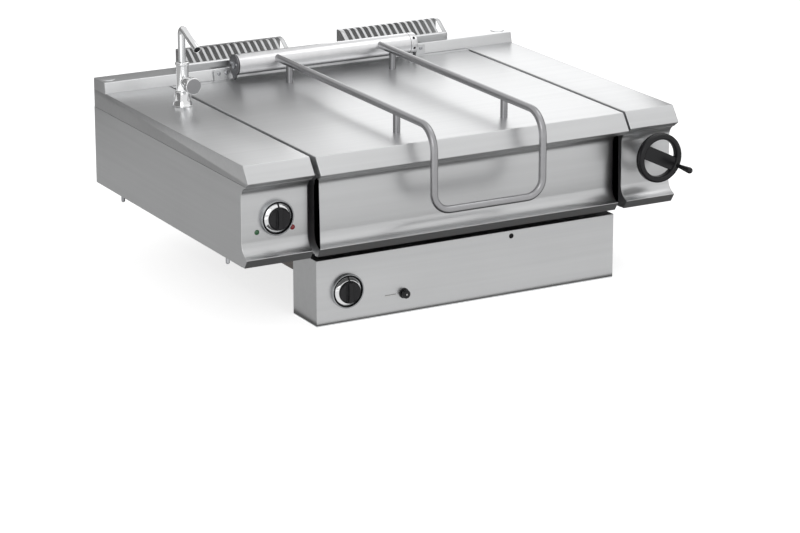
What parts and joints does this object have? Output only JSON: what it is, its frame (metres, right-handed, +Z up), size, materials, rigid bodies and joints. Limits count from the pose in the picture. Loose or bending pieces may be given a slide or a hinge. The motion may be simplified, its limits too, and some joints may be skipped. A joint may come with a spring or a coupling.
{
  "type": "tilting bratt pan",
  "caption": "Low, wide catering cooker top: a lidded rectangular pan between two columns, tilted about its front by a handwheel, with a hanging control box.",
  "frame": {"origin": "centre of the four locating studs, at the underside of the columns", "axes": "+X to the operator's right along the width, +Y from the operator's side to the rear, +Z up"},
  "size_m": [1.2, 0.9876, 0.634],
  "materials": {
    "casing_steel": "fine satin grain along the front",
    "inner_steel": "mill finish sheet",
    "hot_steel": "heat-tinted sheet",
    "pan_steel": "ground cooking surface",
    "cast_iron": "rough cast, machined at the bores",
    "zinc_steel": "turned and zinc-plated",
    "tube_steel": "satin tube, bead-blasted brackets",
    "spring_steel": "oiled spring wire",
    "brass": "turned",
    "bronze": "cut teeth, light grease",
    "black_plastic": "satin black",
    "grey_plastic": "matt",
    "chrome": "polished",
    "green_lens": "domed lens",
    "red_lens": "domed lens"
  },
  "bodies": {
    "frame": {"left_worktop": "casing_steel", "right_worktop": "casing_steel", "left_side_panel": "casing_steel", "right_side_panel": "casing_steel", "left_fascia": "casing_steel", "right_fascia": "casing_steel", "left_inner_cheek": "inner_steel", "right_inner_cheek": "inner_steel", "column_floors": "inner_steel", "support_studs": "zinc_steel", "rear_upstand": "casing_steel", "rear_panel": "inner_steel", "upstand_caps": "casing_steel", "lower_crossmember": "inner_steel", "rear_crossmember": "inner_steel", "flue_duct": "hot_steel", "left_flue_grille": "casing_steel", "right_flue_grille": "casing_steel", "control_box": "casing_steel", "control_box_back": "inner_steel", "combustion_tray": "hot_steel", "burners": "hot_steel", "gas_manifold": "brass", "gas_valve": "brass", "igniter_body": "black_plastic", "thermostat_body": "grey_plastic", "green_lamp": "green_lens", "red_lamp": "red_lens", "knob_bezels": "chrome", "trunnion_bearings": "cast_iron", "worm_bracket": "cast_iron", "worm_bushes": "bronze", "tap_body": "chrome", "supply_inlets": "brass", "cable_gland": "black_plastic"},
    "pan": {"pan_basin": "pan_steel", "pan_bottom_plate": "cast_iron", "pan_front_panel": "casing_steel", "pan_casing": "casing_steel", "trunnions": "zinc_steel", "worm_wheel": "bronze", "hinge_rail": "casing_steel", "hinge_brackets": "tube_steel", "hinge_shaft": "zinc_steel", "hinge_screws": "zinc_steel", "spring_collar": "tube_steel"},
    "lid": {"lid_panel": "casing_steel", "lid_inner_skin": "casing_steel", "hinge_tube": "tube_steel", "lid_handle": "tube_steel", "handle_posts": "tube_steel", "lid_spring": "spring_steel"},
    "tilt_handwheel": {"handwheel": "black_plastic", "worm_shaft": "zinc_steel"},
    "crank": {"crank_grip": "black_plastic"},
    "thermostat": {"thermostat_knob": "black_plastic"},
    "gas_control": {"gas_knob": "black_plastic"},
    "igniter": {"igniter_button": "black_plastic"},
    "spout": {"tap_spout": "chrome"},
    "tap_handle": {"tap_knob": "chrome"}
  },
  "joints": [
    {"name": "pan_tilt", "type": "hinge", "parent": "frame", "child": "pan", "pos_m": [0, -0.379, 0.185], "axis": [1, 0, 0], "range_deg": [0, 75]},
    {"name": "lid_open", "type": "hinge", "parent": "pan", "child": "lid", "pos_m": [0.0165, 0.326, 0.2904], "axis": [-1, 0, 0], "range_deg": [0, 88], "stiffness_Nm_per_rad": 55, "springref_deg": 88.24},
    {"name": "handwheel_spin", "type": "hinge", "parent": "frame", "child": "tilt_handwheel", "pos_m": [0.525, -0.489, 0.135], "axis": [0, 1, 0], "range_deg": [0, 3000]},
    {"name": "crank_spin", "type": "hinge", "parent": "tilt_handwheel", "child": "crank", "pos_m": [0.57443, -0.523, 0.11089], "axis": [0, 1, 0], "continuous": true},
    {"name": "thermostat_turn", "type": "hinge", "parent": "frame", "child": "thermostat", "pos_m": [-0.508, -0.443, 0.11], "axis": [0, 1, 0], "range_deg": [0, 270]},
    {"name": "gas_turn", "type": "hinge", "parent": "frame", "child": "gas_control", "pos_m": [-0.3257, -0.453, -0.097], "axis": [0, 1, 0], "range_deg": [-180, 0]},
    {"name": "igniter_press", "type": "slide", "parent": "frame", "child": "igniter", "axis": [0, 1, 0], "range_m": [0, 0.0038], "stiffness_N_per_m": 500, "springref_m": -0.002},
    {"name": "spout_swivel", "type": "hinge", "parent": "frame", "child": "spout", "pos_m": [-0.477, 0.154, 0.361], "axis": [0, 0, 1], "range_deg": [-90, 90]},
    {"name": "tap_turn", "type": "hinge", "parent": "frame", "child": "tap_handle", "pos_m": [-0.477, 0.107, 0.312], "axis": [0, 1, 0], "range_deg": [-540, 0]}
  ],
  "couplings": [
    {"joint": "handwheel_spin", "follows": "pan_tilt", "ratio": 40}
  ]
}
